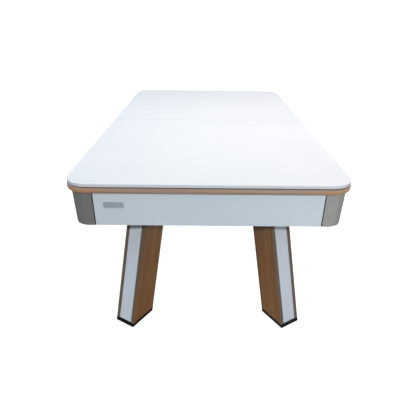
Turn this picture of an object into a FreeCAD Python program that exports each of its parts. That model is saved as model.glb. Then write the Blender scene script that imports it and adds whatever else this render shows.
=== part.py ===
"""Game table of the 7 ft pool class with a lift-off two-half top, on four splayed blade legs.

The frame stands on the floor: +Z is up, +Y runs along the table from front to rear, and the origin
is on the floor under the middle of the top. All sizes are millimetres, and angles are degrees.
"""

import FreeCAD, Part
import math
import os
from types import SimpleNamespace

import Sketcher
from FreeCAD import Placement, Rotation, Vector

doc = FreeCAD.newDocument("GameTable")
sheet = doc.addObject("Spreadsheet::Sheet", "Sizes")

# Driving dimensions: name, size and what it measures
DRIVING = [
    ("table_length", 2160, "top, end to end"),
    ("table_width", 1200, "top, side to side"),
    ("table_height", 780, "floor to the top's upper face"),
    ("top_thickness", 14, "board of the lift-off top"),
    ("top_corner_radius", 100, "corner of the top in plan"),
    ("top_edge_round", 2, "rounding along the top's edges"),
    ("top_seam", 1.5, "gap between the two halves"),
    ("pad_thickness", 6, "rubber strips between top and rail"),
    ("pad_width", 14, "strip's width"),
    ("pad_setback", 20, "strip's outer edge from the top's edge"),
    ("pad_stop", 40, "strip's end from the seam"),
    ("rail_setback", 0.5, "rail's outer face from the top's edge"),
    ("rail_corner_radius", 90, "outer corner of the end rail in plan"),
    ("rail_width", 78, "rail's outer face to the face that carries the cushion"),
    ("rail_band_height", 26, "outer band that shows above the apron"),
    ("rail_band_round", 15, "quarter round along the band's lower edge"),
    ("rail_height", 40, "rail's top to the cloth"),
    ("rail_arm", 200, "end rail's return along the long side, from the top's end"),
    ("rail_heel_gap", 2, "rail's heel to the inside of the apron"),
    ("cushion_depth", 43.5, "rail's face to the cushion's nose"),
    ("cushion_nose_height", 36, "nose above the cloth"),
    ("cushion_nose_drop", 3, "nose below the cushion's front top edge"),
    ("cushion_nose_lead", 2, "nose beyond the cushion's front top edge"),
    ("cushion_lift", 8, "foot of the cushion above the cloth"),
    ("cushion_gap", 3, "cushion's end to the rim of the pocket"),
    ("corner_facing", 42, "how far a cushion's end runs back at a corner pocket"),
    ("side_facing", 12, "how far a cushion's end runs back at a side pocket"),
    ("cloth_thickness", 1, "playing cloth"),
    ("bed_thickness", 25, "playfield board"),
    ("bed_corner_radius", 45, "corner of the playfield board"),
    ("bed_gap", 0.5, "bed's edge to the foot of the apron's inner face"),
    ("corner_pocket_radius", 55, "hole of a corner pocket"),
    ("corner_pocket_web", 10, "bed left outside the hole of a corner pocket"),
    ("side_pocket_radius", 40, "hole of a side pocket"),
    ("side_pocket_web", 5, "bed left outside the hole of a side pocket"),
    ("pocket_gap", 0.3, "cup in its hole"),
    ("pocket_wall", 3, "wall of a pocket cup"),
    ("pocket_flange", 5, "flange of the cup under the bed"),
    ("pocket_flange_thickness", 4, "thickness of that flange"),
    ("pocket_drop", 100, "cup's floor below the bed"),
    ("pocket_floor_slope", 14, "sloping corner round the cup's floor"),
    ("pocket_collar_drop", 1, "top of the cup's collar below the rail's top"),
    ("apron_setback", 16, "apron's upper edge from the top's edge"),
    ("apron_thickness", 18, "apron board"),
    ("apron_height", 153, "apron, upper edge to lower edge"),
    ("apron_lean", 6.5, "how far the apron leans in over its height"),
    ("apron_edge_round", 2, "rounding along the apron's lower edges"),
    ("cover_reach", 119, "end of a corner cover from the top's edge"),
    ("cover_groove_width", 4, "shadow groove between a cover and the apron"),
    ("cover_groove_depth", 5, "depth of that groove"),
    ("cover_wall", 4, "wall of a corner cover"),
    ("beam_thickness", 40, "beams under the bed"),
    ("leg_beam_width", 190, "beam that carries a pair of legs"),
    ("beam_pocket_gap", 11.5, "that beam to the flanges of the corner pockets"),
    ("cross_beam_width", 70, "beam between the leg beams"),
    ("cross_beam_offset", 270, "cross beam from the middle of the table"),
    ("plate_length", 220, "leg plate across the table"),
    ("plate_width", 188, "leg plate along the table"),
    ("plate_thickness", 6, "leg plate"),
    ("bolt_edge", 15, "bolt's centre from the ends of the plate"),
    ("bolt_side", 20, "bolt's centre from the sides of the plate"),
    ("bolt_radius", 5, "bolt's shank"),
    ("bolt_gap", 0.5, "shank in its hole"),
    ("bolt_length", 38, "shank under the head"),
    ("bolt_head_radius", 9.8, "bolt's hexagon head, to its corners"),
    ("bolt_head_height", 6.4, "bolt's head"),
    ("leg_depth", 151, "leg's section along the blade"),
    ("leg_core_width", 73, "white core between the boards"),
    ("leg_board_thickness", 18, "wood board on each side of the core"),
    ("leg_core_recess", 3, "core's ends set back from the boards' edges"),
    ("leg_edge_round", 1.5, "rounding along the boards' edges"),
    ("leg_turn", 57.7, "blade's direction from the table's width"),
    ("leg_lean", 15, "lean of the blade from upright"),
    ("leg_from_side", 320, "middle of the leg's upper end from the top's side"),
    ("foot_height", 18, "black foot under the leg"),
    ("leveller_show", 3, "leveller's pad below the foot"),
    ("leveller_pad_radius", 24, "pad that stands on the floor"),
    ("leveller_pad_height", 6, "that pad"),
    ("leveller_pad_gap", 1, "pad in the foot's recess"),
    ("journal_radius", 4, "stem's end that turns in the pad"),
    ("journal_length", 4, "depth of that end in the pad"),
    ("running_gap", 0.05, "turning fits"),
    ("collar_radius", 9, "stem's hexagon, to its corners"),
    ("collar_height", 4, "stem's hexagon"),
    ("collar_gap", 0.3, "hexagon under the roof of the recess"),
    ("stem_radius", 5, "stem in the leg's core"),
    ("stem_length", 60, "stem above its hexagon"),
    ("stem_end_gap", 2, "stem's upper end in its bore"),
]


class Measure:
    """A size with its number and the expression that gives it from the sheet."""

    def __init__(self, number, text=None):
        self.number = float(number)
        self.text = text or f"{self.number:.9g}"

    @staticmethod
    def of(value):
        return value if isinstance(value, Measure) else Measure(value)

    def joined(self, sign, other, number):
        return Measure(number, f"({self.text} {sign} {Measure.of(other).text})")

    def __add__(self, other):
        return self.joined("+", other, self.number + Measure.of(other).number)

    def __sub__(self, other):
        return self.joined("-", other, self.number - Measure.of(other).number)

    def __mul__(self, other):
        return self.joined("*", other, self.number * Measure.of(other).number)

    def __truediv__(self, other):
        return self.joined("/", other, self.number / Measure.of(other).number)

    def __neg__(self):
        return Measure(0) - self


def cosine(angle):
    return Measure(math.cos(math.radians(angle.number)), f"cos({angle.text})")


def sine(angle):
    return Measure(math.sin(math.radians(angle.number)), f"sin({angle.text})")


def tangent(angle):
    return Measure(math.tan(math.radians(angle.number)), f"tan({angle.text})")


def root(square):
    return Measure(math.sqrt(square.number), f"sqrt({square.text})")


size = SimpleNamespace()
for row, (name, number, meaning) in enumerate(DRIVING, start=1):
    sheet.set(f"A{row}", name)
    sheet.set(f"B{row}", str(number))
    sheet.setAlias(f"B{row}", name)
    sheet.set(f"C{row}", meaning)
    setattr(size, name, Measure(number, f"Sizes.{name}"))
doc.recompute()

# Levels above the floor, from the top downwards
top_underside = size.table_height - size.top_thickness
rail_top = top_underside - size.pad_thickness
apron_top = rail_top - size.rail_band_height
cloth_top = rail_top - size.rail_height
bed_top = cloth_top - size.cloth_thickness
bed_underside = bed_top - size.bed_thickness
beam_underside = bed_underside - size.beam_thickness
leg_top = beam_underside - size.plate_thickness
apron_foot = apron_top - size.apron_height
foot_top = size.leveller_show + size.foot_height
collar_top = size.leveller_pad_height + size.collar_height
stem_end = collar_top + size.stem_length

# Distances in from the top's edge
rail_face = size.rail_setback + size.rail_width
heel_line = size.apron_setback + size.apron_thickness + size.rail_heel_gap
bed_edge = size.apron_setback + size.apron_thickness + size.apron_lean + size.bed_gap

ENDS = (("front", -1), ("rear", 1))
SIDES = (("left", -1), ("right", 1))
NEAR = 1e-4
bodies = []


def side_at(inset):
    """Distance from the table's long centre line to a line that far in from the top's side."""
    return size.table_width / 2 - inset


def end_at(inset):
    """Distance from the middle of the table to a line that far in from the top's end."""
    return size.table_length / 2 - inset


def new_body(label, x=None, y=None, turn=None):
    """An empty body, set at (x, y) and turned about the vertical."""
    body = doc.addObject("PartDesign::Body", label)
    body.Label = label
    body.AllowCompound = True
    if turn is not None:
        body.Placement = Placement(Vector(), Rotation(Vector(0, 0, 1), turn.number))
        body.setExpression("Placement.Rotation.Angle", turn.text)
    if x is not None:
        body.setExpression("Placement.Base.x", x.text)
    if y is not None:
        body.setExpression("Placement.Base.y", y.text)
    bodies.append(body)
    return body


def new_sketch(body, role, offset=None):
    """A sketch on one of the body's own planes, moved along the plane's normal by offset."""
    sketch = body.newObject("Sketcher::SketchObject", "sketch")
    plane = next(item for item in body.Origin.OriginFeatures if item.Role == role)
    sketch.AttachmentSupport = [(plane, "")]
    sketch.MapMode = "FlatFace"
    if offset is not None:
        sketch.setExpression("AttachmentOffset.Base.z", offset.text)
    return sketch


def hold(sketch, kind, measure, *where):
    """One dimension of the sketch, taken from the sheet."""
    index = sketch.addConstraint(Sketcher.Constraint(kind, *where, measure.number))
    sketch.setExpression(f"Constraints[{index}]", measure.text)


def add_polygon(sketch, corners):
    """A closed outline through the corners.

    A corner is (x, y), with a straight line to the next one, or (x, y, centre, radius), with an arc
    of less than half a turn to the next one.
    """
    first = sketch.GeometryCount
    count = len(corners)
    places = [(Measure.of(corner[0]), Measure.of(corner[1])) for corner in corners]
    points = [Vector(x.number, y.number, 0) for x, y in places]
    heads, tails = [1] * count, [2] * count
    for k, corner in enumerate(corners):
        here, there = points[k], points[(k + 1) % count]
        if len(corner) == 2:
            sketch.addGeometry(Part.LineSegment(here, there))
            continue
        middle = Vector(corner[2][0].number, corner[2][1].number, 0)
        if (here - middle).cross(there - middle).z < 0:
            here, there = there, here
            heads[k], tails[k] = 2, 1
        angles = [math.atan2(spoke.y, spoke.x) for spoke in (here - middle, there - middle)]
        circle = Part.Circle(middle, Vector(0, 0, 1), corner[3].number)
        sketch.addGeometry(Part.ArcOfCircle(circle, *angles))
    for k in range(count):
        following = (k + 1) % count
        ends = (first + k, tails[k], first + following, heads[following])
        sketch.addConstraint(Sketcher.Constraint("Coincident", *ends))
    for k, (x, y) in enumerate(places):
        hold(sketch, "DistanceX", x, first + k, heads[k])
        hold(sketch, "DistanceY", y, first + k, heads[k])
        if len(corners[k]) > 2:
            hold(sketch, "Radius", corners[k][3], first + k)


def add_rectangle(sketch, low_x, low_y, high_x, high_y):
    add_polygon(sketch, [(low_x, low_y), (high_x, low_y), (high_x, high_y), (low_x, high_y)])


def add_circle(sketch, x, y, radius):
    x, y = Measure.of(x), Measure.of(y)
    centre = Vector(x.number, y.number, 0)
    index = sketch.addGeometry(Part.Circle(centre, Vector(0, 0, 1), radius.number))
    hold(sketch, "Radius", radius, index)
    hold(sketch, "DistanceX", x, index, 3)
    hold(sketch, "DistanceY", y, index, 3)


def add_hexagon(sketch, x, y, radius):
    """A regular hexagon, radius to its corners."""
    spokes = [math.radians(60 * k) for k in range(6)]
    add_polygon(sketch, [(radius * math.cos(a) + x, radius * math.sin(a) + y) for a in spokes])


def pad(sketch, length, side="One side"):
    """Adds the sketch's outline, thickened by length."""
    feature = sketch.getParentGeoFeatureGroup().newObject("PartDesign::Pad", "pad")
    feature.Profile = sketch
    feature.SideType = side
    feature.setExpression("Length", length.text)
    doc.recompute()
    return feature


def cut(sketch, length=None):
    """Cuts the sketch's outline upwards by length, or right through with no length."""
    body = sketch.getParentGeoFeatureGroup()
    before = body.Tip.Shape.Volume
    feature = body.newObject("PartDesign::Pocket", "pocket")
    feature.Profile = sketch
    if length is None:
        feature.SideType = "Symmetric"
        feature.Type = "ThroughAll"
    else:
        feature.Reversed = True
        feature.setExpression("Length", length.text)
    doc.recompute()
    if feature.Shape.Volume > before - NEAR:
        raise RuntimeError(f"{body.Label}: a cut takes nothing away")
    return feature


def revolve(sketch):
    """Turns the sketch's outline once round the body's vertical axis."""
    feature = sketch.getParentGeoFeatureGroup().newObject("PartDesign::Revolution", "revolution")
    feature.Profile = sketch
    feature.ReferenceAxis = (sketch, ["V_Axis"])
    feature.Angle = 360
    doc.recompute()
    return feature


def round_edges(feature, radius, chosen):
    """Rounds the edges of the feature for which chosen(edge) is true."""
    names = [f"Edge{k}" for k, edge in enumerate(feature.Shape.Edges, start=1) if chosen(edge)]
    if not names:
        raise RuntimeError(f"{feature.Name}: no edge to round")
    fillet = feature.getParentGeoFeatureGroup().newObject("PartDesign::Fillet", "fillet")
    fillet.Base = (feature, names)
    fillet.setExpression("Radius", radius.text)
    doc.recompute()
    return fillet


def upright_at(edge, x, y):
    """True for an upright edge at the plan position (x, y), on either side of each centre line."""
    box = edge.BoundBox
    flat = box.XLength < NEAR and box.YLength < NEAR
    return flat and abs(abs(box.XMin) - x.number) < NEAR and abs(abs(box.YMin) - y.number) < NEAR


def level_at(edge, z):
    """True for an edge that lies in the plane at height z."""
    box = edge.BoundBox
    return abs(box.ZMin - z.number) < NEAR and abs(box.ZMax - z.number) < NEAR


def on_outline(edge, x, y, radius):
    """True for an edge along the outline |x|, |y| or round its corner arcs."""
    box = edge.BoundBox
    if box.YLength < NEAR:
        return abs(abs(box.YMin) - y.number) < NEAR
    if box.XLength < NEAR:
        return abs(abs(box.XMin) - x.number) < NEAR
    return hasattr(edge.Curve, "Radius") and abs(edge.Curve.Radius - radius.number) < NEAR


# Places that several pieces share
corner_inset = bed_edge + size.corner_pocket_web + size.corner_pocket_radius
side_inset = bed_edge + size.side_pocket_web + size.side_pocket_radius
corner_x, corner_y = side_at(corner_inset), end_at(corner_inset)
side_x = side_at(side_inset)
flange_radius = size.corner_pocket_radius - size.pocket_gap + size.pocket_flange
beam_edge = corner_y - flange_radius - size.beam_pocket_gap
leg_slope = tangent(size.leg_lean)
leg_top_x = side_at(size.leg_from_side)
leg_top_y = beam_edge - size.plate_width / 2
leg_x = leg_top_x + leg_slope * leg_top * cosine(size.leg_turn)
leg_y = leg_top_y + leg_slope * leg_top * sine(size.leg_turn)
bolt_x = size.plate_length / 2 - size.bolt_edge
bolt_y = size.plate_width / 2 - size.bolt_side
bolt_hole = size.bolt_radius + size.bolt_gap


def half_chord(radius, inset):
    """Half of a pocket's width where the rail's face crosses it."""
    offset = inset - rail_face
    return root(radius * radius - offset * offset)


def bolt_places(ends=(-1, 1)):
    """Plan position of every leg bolt at the given ends of the table."""
    return [
        (leg_top_x * side + bolt_x * across, leg_top_y * end + bolt_y * along)
        for end in ends
        for side in (-1, 1)
        for across in (-1, 1)
        for along in (-1, 1)
    ]


def top_half(name, end):
    """Half of the lift-off top: a lacquered board with two round corners and softened edges."""
    body = new_body(f"top_{name}_panel")
    sketch = new_sketch(body, "XY_Plane", top_underside)
    seam = size.top_seam / 2 * end
    far = size.table_length / 2 * end
    add_rectangle(sketch, -size.table_width / 2, seam, size.table_width / 2, far)
    board = pad(sketch, size.top_thickness)
    half_x, half_y = size.table_width / 2, size.table_length / 2
    rounded = round_edges(board, size.top_corner_radius, lambda e: upright_at(e, half_x, half_y))
    round_edges(
        rounded,
        size.top_edge_round,
        lambda e: level_at(e, top_underside) or level_at(e, size.table_height),
    )


def top_pads(name, end):
    """Rubber strips under one half of the top: along its end and along both sides."""
    body = new_body(f"top_{name}_pads")
    sketch = new_sketch(body, "XY_Plane", rail_top)
    inner = size.pad_setback + size.pad_width
    straight_x = side_at(size.top_corner_radius)
    straight_y = end_at(size.top_corner_radius) * end
    outer_y = end_at(size.pad_setback) * end
    add_rectangle(sketch, -straight_x, end_at(inner) * end, straight_x, outer_y)
    for side in (-1, 1):
        low_x, high_x = side_at(inner) * side, side_at(size.pad_setback) * side
        add_rectangle(sketch, low_x, size.pad_stop * end, high_x, straight_y)
    pad(sketch, size.pad_thickness)


def end_rail(name, end):
    """Wood rail across one end, with round corners and a return along each long side.

    Its heel stands on the cloth inside the apron, its outer band laps over the apron's upper edge
    and rolls under in a quarter round, and both corner pockets are bored through it.
    """
    body = new_body(f"rail_{name}")
    arm_y = end_at(size.rail_arm) * end
    inner_x, inner_y = side_at(rail_face), end_at(rail_face) * end

    def add_return_outline(sketch, inset):
        x, y = side_at(inset), end_at(inset) * end
        outer = [(-x, arm_y), (-x, y), (x, y), (x, arm_y)]
        inner = [(inner_x, arm_y), (inner_x, inner_y), (-inner_x, inner_y), (-inner_x, arm_y)]
        add_polygon(sketch, outer + inner)

    heel_sketch = new_sketch(body, "XY_Plane", cloth_top)
    add_return_outline(heel_sketch, heel_line)
    heel = pad(heel_sketch, apron_top - cloth_top)
    heel_x, heel_y = side_at(heel_line), end_at(heel_line)
    heel_radius = size.rail_corner_radius + size.rail_setback - heel_line
    round_edges(heel, heel_radius, lambda e: upright_at(e, heel_x, heel_y))

    band_sketch = new_sketch(body, "XY_Plane", apron_top)
    add_return_outline(band_sketch, size.rail_setback)
    band = pad(band_sketch, size.rail_band_height)
    band_x, band_y = side_at(size.rail_setback), end_at(size.rail_setback)
    band_radius = size.rail_corner_radius
    turned = round_edges(band, band_radius, lambda e: upright_at(e, band_x, band_y))
    round_edges(
        turned,
        size.rail_band_round,
        lambda e: level_at(e, apron_top) and on_outline(e, band_x, band_y, band_radius),
    )
    bores = new_sketch(body, "XY_Plane", rail_top)
    for side in (-1, 1):
        add_circle(bores, corner_x * side, corner_y * end, size.corner_pocket_radius)
    cut(bores)


def long_rail(name, side):
    """Straight wood rail along one side, between the returns, bored for the side pocket."""
    body = new_body(f"rail_{name}")
    profile = new_sketch(body, "XZ_Plane")
    outer = side_at(size.rail_setback) * side
    heel = side_at(heel_line) * side
    face = side_at(rail_face) * side
    add_polygon(
        profile,
        [
            (outer, rail_top),
            (face, rail_top),
            (face, cloth_top),
            (heel, cloth_top),
            (heel, apron_top),
            (outer, apron_top),
        ],
    )
    bar = pad(profile, end_at(size.rail_arm) * 2, "Symmetric")

    def lower_outer(edge):
        return level_at(edge, apron_top) and abs(edge.BoundBox.Center.x - outer.number) < NEAR

    round_edges(bar, size.rail_band_round, lower_outer)
    bore = new_sketch(body, "XY_Plane", rail_top)
    add_circle(bore, side_x * side, 0, size.side_pocket_radius)
    cut(bore)


def cushion(label, length, start_facing, end_facing, x, y, turn):
    """Cloth-covered rubber cushion: its back is glued to the rail's face, its nose points inwards.

    It runs along its own X axis from the origin, and both ends are cut back to open the pockets.
    """
    body = new_body(label, x, y, Measure(turn))
    profile = new_sketch(body, "YZ_Plane")
    nose_level = cloth_top + size.cushion_nose_height
    edge_y = size.cushion_depth - size.cushion_nose_lead
    add_polygon(
        profile,
        [
            (0, rail_top),
            (0, cloth_top + size.cushion_lift),
            (edge_y, nose_level - size.cushion_nose_drop),
            (size.cushion_depth, nose_level),
            (edge_y, nose_level + size.cushion_nose_drop),
        ],
    )
    pad(profile, length)
    ends = new_sketch(body, "XY_Plane", rail_top)
    depth = size.cushion_depth
    add_polygon(ends, [(0, 0), (start_facing, depth), (0, depth)])
    add_polygon(ends, [(length, 0), (length, depth), (length - end_facing, depth)])
    cut(ends)


def cushions():
    """Six cushions: one across each end, two along each side between the pockets."""
    corner_back = half_chord(size.corner_pocket_radius, corner_inset) + size.cushion_gap
    half_end = corner_x - corner_back
    near_y = half_chord(size.side_pocket_radius, side_inset) + size.cushion_gap
    far_y = corner_y - corner_back
    face_x, face_y = side_at(rail_face), end_at(rail_face)
    corner, middle = size.corner_facing, size.side_facing
    cushion("cushion_front", half_end * 2, corner, corner, -half_end, -face_y, 0)
    cushion("cushion_rear", half_end * 2, corner, corner, half_end, face_y, 180)
    length = far_y - near_y
    cushion("cushion_left_front", length, middle, corner, -face_x, -near_y, 270)
    cushion("cushion_left_rear", length, corner, middle, -face_x, far_y, 270)
    cushion("cushion_right_front", length, corner, middle, face_x, -far_y, 90)
    cushion("cushion_right_rear", length, middle, corner, face_x, near_y, 90)


def bored_board(label, level, thickness):
    """Board with round corners, bored for the six pockets: the bed, and the cloth on it."""
    body = new_body(label)
    sketch = new_sketch(body, "XY_Plane", level)
    x, y = side_at(bed_edge), end_at(bed_edge)
    add_rectangle(sketch, -x, -y, x, y)
    board = pad(sketch, thickness)
    round_edges(board, size.bed_corner_radius, lambda e: upright_at(e, x, y))
    bores = new_sketch(body, "XY_Plane", level)
    for side in (-1, 1):
        add_circle(bores, side_x * side, 0, size.side_pocket_radius)
        for end in (-1, 1):
            add_circle(bores, corner_x * side, corner_y * end, size.corner_pocket_radius)
    cut(bores)


def pocket_cup(label, radius, x, y, turn):
    """Moulded pocket: a cup hung under the bed by its flange, with a collar that lines the rail.

    Its own X axis points away from the playfield. The collar stands only on that half. The floor meets
    the wall in a 45 degree slope of even thickness.
    """
    body = new_body(label, x, y, Measure(turn))
    wall_out = radius - size.pocket_gap
    wall_in = wall_out - size.pocket_wall
    flange = wall_out + size.pocket_flange
    flange_foot = bed_underside - size.pocket_flange_thickness
    floor = bed_underside - size.pocket_drop
    rim = rail_top - size.pocket_collar_drop
    slope = size.pocket_floor_slope
    bend = size.pocket_wall * tangent(Measure(45 / 2))
    profile = new_sketch(body, "XZ_Plane")
    add_polygon(
        profile,
        [
            (0, floor),
            (wall_out - slope, floor),
            (wall_out, floor + slope),
            (wall_out, flange_foot),
            (flange, flange_foot),
            (flange, bed_underside),
            (wall_out, bed_underside),
            (wall_out, rim),
            (wall_in, rim),
            (wall_in, floor + slope + bend),
            (wall_out - slope - bend, floor + size.pocket_wall),
            (0, floor + size.pocket_wall),
        ],
    )
    revolve(profile)
    open_half = new_sketch(body, "XY_Plane", bed_top)
    add_rectangle(open_half, -flange, -flange, 0, flange)
    cut(open_half, rim - bed_top)


def pocket_cups():
    """Four corner cups, turned to the corners, and two side cups."""
    for side_name, side in SIDES:
        turn = 0 if side > 0 else 180
        pocket_cup(f"pocket_{side_name}", size.side_pocket_radius, side_x * side, Measure(0), turn)
        for end_name, end in ENDS:
            turn = math.degrees(math.atan2(end, side))
            label = f"pocket_{end_name}_{side_name}"
            pocket_cup(label, size.corner_pocket_radius, corner_x * side, corner_y * end, turn)


def apron(name, plane, at, way, length):
    """White apron board that leans in towards its lower edge. at() gives its distance from the middle."""
    body = new_body(f"apron_{name}")
    outer_top = size.apron_setback
    outer_foot = outer_top + size.apron_lean
    profile = new_sketch(body, plane)
    add_polygon(
        profile,
        [
            (at(outer_top) * way, apron_top),
            (at(outer_foot) * way, apron_foot),
            (at(outer_foot + size.apron_thickness) * way, apron_foot),
            (at(outer_top + size.apron_thickness) * way, apron_top),
        ],
    )
    board = pad(profile, length, "Symmetric")

    def along_the_foot(edge):
        return level_at(edge, apron_foot) and edge.Length > size.apron_thickness.number * 2

    round_edges(board, size.apron_edge_round, along_the_foot)


def corner_cover(label, side, end):
    """Silver corner cover: a leaning shell whose lips butt against the aprons' ends.

    Its round corner has the same centre as the corner of the rail, so it leans alike all the way round.
    Each lip is set back from the outer face, which leaves a shadow groove beside the apron.
    """
    body = new_body(label)
    lip, wall = size.apron_thickness, size.cover_wall
    groove, drop = size.cover_groove_width, size.cover_groove_depth
    stop_x, stop_y = side_at(size.cover_reach), end_at(size.cover_reach)

    def section(level, inset):
        sketch = new_sketch(body, "XY_Plane", level)
        radius = size.rail_corner_radius + size.rail_setback - inset
        x, y = side_at(inset), end_at(inset)
        bend = ((x - radius) * side, (y - radius) * end)
        corners = [
            (stop_x, y - drop),
            (stop_x + groove, y - drop),
            (stop_x + groove, y),
            (x - radius, y, bend, radius),
            (x, y - radius),
            (x, stop_y + groove),
            (x - drop, stop_y + groove),
            (x - drop, stop_y),
            (x - lip, stop_y),
            (x - lip, stop_y + wall),
            (x - drop - wall, stop_y + wall),
            (x - drop - wall, stop_y + groove + wall),
            (x - wall, stop_y + groove + wall),
            (x - wall, y - radius, bend, radius - wall),
            (x - radius, y - wall),
            (stop_x + groove + wall, y - wall),
            (stop_x + groove + wall, y - drop - wall),
            (stop_x + wall, y - drop - wall),
            (stop_x + wall, y - lip),
            (stop_x, y - lip),
        ]
        add_polygon(sketch, [(across * side, along * end, *arc) for across, along, *arc in corners])
        return sketch

    shell = body.newObject("PartDesign::AdditiveLoft", "loft")
    shell.Profile = section(apron_foot, size.apron_setback + size.apron_lean)
    shell.Sections = [section(apron_top, size.apron_setback)]
    shell.Ruled = True
    body.Tip = shell
    doc.recompute()


def leg_beam(name, end):
    """Wide beam across the table, under the bed, drilled for the bolts of two legs."""
    body = new_body(f"leg_beam_{name}")
    sketch = new_sketch(body, "XY_Plane", beam_underside)
    x = side_at(bed_edge)
    add_rectangle(sketch, -x, (beam_edge - size.leg_beam_width) * end, x, beam_edge * end)
    for bolt in bolt_places((end,)):
        add_circle(sketch, *bolt, bolt_hole)
    pad(sketch, size.beam_thickness)


def cross_beams():
    """Two narrower beams that carry the middle of the bed."""
    body = new_body("cross_beams")
    sketch = new_sketch(body, "XY_Plane", beam_underside)
    x = side_at(bed_edge)
    half = size.cross_beam_width / 2
    for end in (-1, 1):
        y = size.cross_beam_offset * end
        add_rectangle(sketch, -x, y - half, x, y + half)
    pad(sketch, size.beam_thickness)


def leg_plates():
    """Four steel plates between the legs and the beams, each drilled for its four bolts."""
    body = new_body("leg_plates")
    sketch = new_sketch(body, "XY_Plane", leg_top)
    half_x, half_y = size.plate_length / 2, size.plate_width / 2
    for side in (-1, 1):
        for end in (-1, 1):
            x, y = leg_top_x * side, leg_top_y * end
            add_rectangle(sketch, x - half_x, y - half_y, x + half_x, y + half_y)
    for bolt in bolt_places():
        add_circle(sketch, *bolt, bolt_hole)
    pad(sketch, size.plate_thickness)


def leg_bolts():
    """Bolts that hold the plates up against the beams, heads downwards."""
    body = new_body("leg_bolts")
    heads = new_sketch(body, "XY_Plane", leg_top - size.bolt_head_height)
    for bolt in bolt_places():
        add_hexagon(heads, *bolt, size.bolt_head_radius)
    pad(heads, size.bolt_head_height)
    shanks = new_sketch(body, "XY_Plane", leg_top)
    for bolt in bolt_places():
        add_circle(shanks, *bolt, size.bolt_radius)
    pad(shanks, size.bolt_length)


def blade(sketch, low, high, recess=None):
    """Outline of the blade between two levels: its ends lean inwards as they rise."""
    half = size.leg_depth / 2 if recess is None else size.leg_depth / 2 - recess
    low_x, high_x = leg_slope * low, leg_slope * high
    corners = [(low_x - half, low), (low_x + half, low), (high_x + half, high), (high_x - half, high)]
    add_polygon(sketch, corners)


def leg(name, side, end):
    """One splayed leg with its leveller. Its own X axis points inwards along the blade."""
    straight_in = 0 if side < 0 else 180
    turn = size.leg_turn * (side * end) + straight_in
    x, y = leg_x * side, leg_y * end
    label = f"leg_{name}"

    for board_name, face in (("outer", side * end), ("inner", -side * end)):
        body = new_body(f"{label}_{board_name}_board", x, y, turn)
        middle = (size.leg_core_width + size.leg_board_thickness) / 2
        sketch = new_sketch(body, "XZ_Plane", middle * -face)
        blade(sketch, foot_top, leg_top)
        board = pad(sketch, size.leg_board_thickness, "Symmetric")
        long_edge = size.table_height.number / 2
        round_edges(board, size.leg_edge_round, lambda e: e.Length > long_edge)

    core = new_body(f"{label}_core", x, y, turn)
    sketch = new_sketch(core, "XZ_Plane")
    blade(sketch, foot_top, leg_top, size.leg_core_recess)
    pad(sketch, size.leg_core_width, "Symmetric")
    bore = new_sketch(core, "XY_Plane", foot_top)
    add_circle(bore, 0, 0, size.stem_radius + size.running_gap)
    cut(bore, stem_end + size.stem_end_gap - foot_top)

    foot = new_body(f"{label}_foot", x, y, turn)
    sketch = new_sketch(foot, "XZ_Plane")
    blade(sketch, size.leveller_show, foot_top)
    pad(sketch, size.leg_core_width + size.leg_board_thickness * 2, "Symmetric")
    recess = new_sketch(foot, "XY_Plane", size.leveller_show)
    add_circle(recess, 0, 0, size.leveller_pad_radius + size.leveller_pad_gap)
    cut(recess, collar_top + size.collar_gap - size.leveller_show)
    passage = new_sketch(foot, "XY_Plane", size.leveller_show)
    add_circle(passage, 0, 0, size.stem_radius + size.collar_gap)
    cut(passage)

    leveller_stem(f"{label}_leveller_stem", x, y, turn)
    leveller_pad(f"{label}_leveller_pad", x, y, turn)


def leveller_stem(label, x, y, turn):
    """Steel screw of a leveller: a hexagon to turn it by, a stem above and a journal below."""
    body = new_body(label, x, y, turn)
    hexagon = new_sketch(body, "XY_Plane", size.leveller_pad_height)
    add_hexagon(hexagon, 0, 0, size.collar_radius)
    pad(hexagon, size.collar_height)
    stem = new_sketch(body, "XY_Plane", collar_top)
    add_circle(stem, 0, 0, size.stem_radius)
    pad(stem, size.stem_length)
    journal = new_sketch(body, "XY_Plane", size.leveller_pad_height - size.journal_length)
    add_circle(journal, 0, 0, size.journal_radius)
    pad(journal, size.journal_length)


def leveller_pad(label, x, y, turn):
    """Round pad that stands on the floor and lets the stem turn in it."""
    body = new_body(label, x, y, turn)
    disc = new_sketch(body, "XY_Plane")
    add_circle(disc, 0, 0, size.leveller_pad_radius)
    pad(disc, size.leveller_pad_height)
    socket = new_sketch(body, "XY_Plane", size.leveller_pad_height - size.journal_length)
    add_circle(socket, 0, 0, size.journal_radius + size.running_gap)
    cut(socket, size.journal_length)


# The table from the top downwards
for end_name, end in ENDS:
    top_half(end_name, end)
    top_pads(end_name, end)
    end_rail(end_name, end)
    apron(end_name, "YZ_Plane", end_at, end, side_at(size.cover_reach) * 2)
    leg_beam(end_name, end)
for side_name, side in SIDES:
    long_rail(side_name, side)
    apron(side_name, "XZ_Plane", side_at, side, end_at(size.cover_reach) * 2)
cushions()
bored_board("playfield_cloth", bed_top, size.cloth_thickness)
bored_board("playfield_bed", bed_underside, size.bed_thickness)
pocket_cups()
for end_name, end in ENDS:
    for side_name, side in SIDES:
        corner_cover(f"corner_cover_{end_name}_{side_name}", side, end)
        leg(f"{end_name}_{side_name}", side, end)
cross_beams()
leg_plates()
leg_bolts()
doc.recompute()

for item in doc.Objects:
    if "Invalid" in item.State or "Error" in item.State:
        raise RuntimeError(f"{item.Label}: {item.State}")
for body in bodies:
    if body.Shape.isNull() or not body.Shape.isValid():
        raise RuntimeError(f"{body.Label}: the shape is not valid")

os.makedirs("parts", exist_ok=True)
for body in bodies:
    body.Shape.exportStep(f"parts/{body.Label}.step")
print(len(bodies), "parts written")
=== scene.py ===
"""The game table's looks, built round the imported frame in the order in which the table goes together.

Metres, in the frame of the CAD model: +Z up, +Y from the front to the rear, the origin on the floor.
"""

import math

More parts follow.
